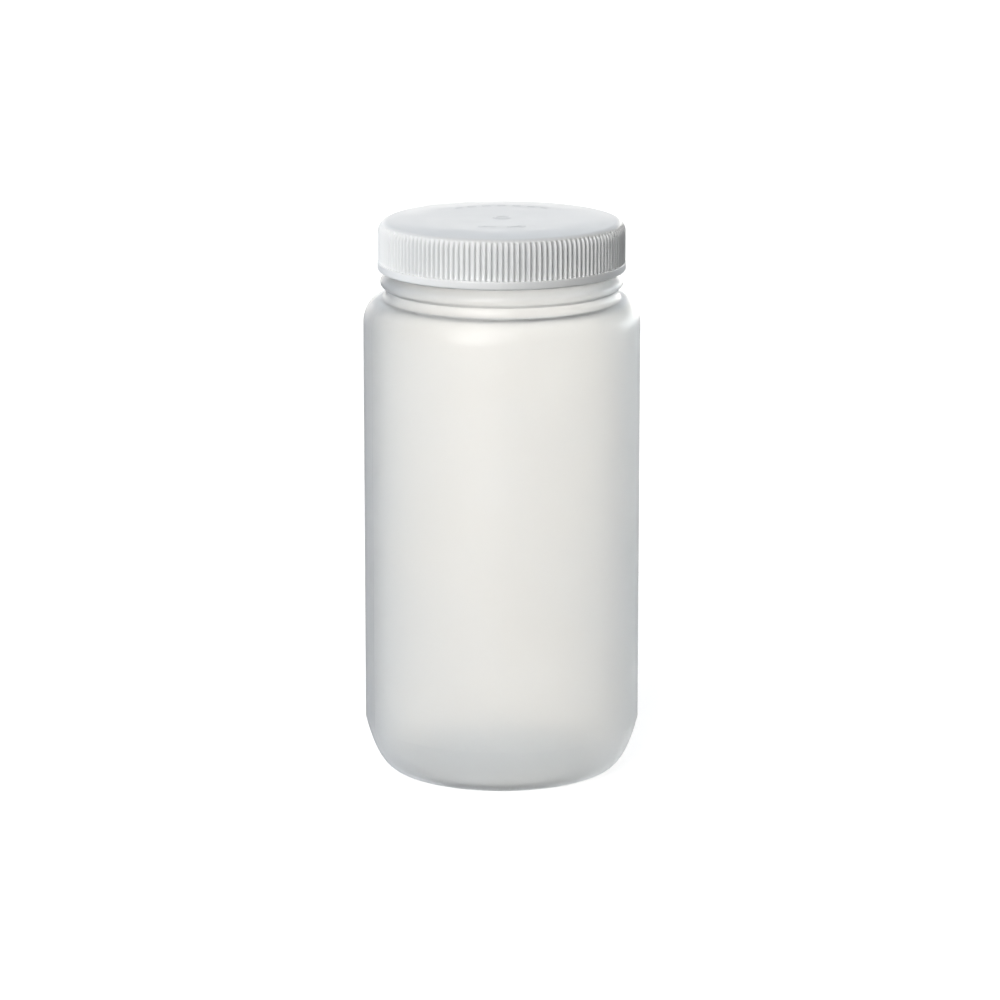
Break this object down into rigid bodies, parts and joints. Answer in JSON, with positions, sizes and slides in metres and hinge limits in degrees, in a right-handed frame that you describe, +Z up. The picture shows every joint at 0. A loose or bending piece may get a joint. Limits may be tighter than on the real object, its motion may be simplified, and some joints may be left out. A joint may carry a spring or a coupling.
{
  "type": "reagent bottle",
  "caption": "Wide-mouth round plastic reagent bottle with a fluted screw cap, which turns and rises on the neck's thread and lifts clear, and a ring gasket inside it.",
  "frame": {"origin": "centre of the ring that the bottle stands on, in the plane of the surface under it", "axes": "+Z up along the bottle's axis; the thread starts of neck and cap lie on +X with the cap closed, and -Y is the front"},
  "size_m": [0.12, 0.12, 0.2432],
  "materials": {
    "natural_polypropylene": "translucent, smooth satin",
    "white_polypropylene": "slightly translucent, moulded satin",
    "soft_elastomer": "matt"
  },
  "bodies": {
    "bottle": {"bottle_body": "natural_polypropylene"},
    "gasket": {"sealing_gasket": "soft_elastomer"},
    "cap": {"screw_cap": "white_polypropylene"}
  },
  "joints": [
    {"name": "cap_lift", "type": "slide", "parent": "bottle", "child": "gasket", "axis": [0, 0, 1], "range_m": [0, 0.04064]},
    {"name": "cap_turn", "type": "hinge", "parent": "gasket", "child": "cap", "pos_m": [0, 0, 0.232], "axis": [0, 0, 1], "range_deg": [0, 2880]}
  ],
  "couplings": [
    {"joint": "cap_lift", "follows": "cap_turn", "m_per_rad": 0.00080851}
  ]
}
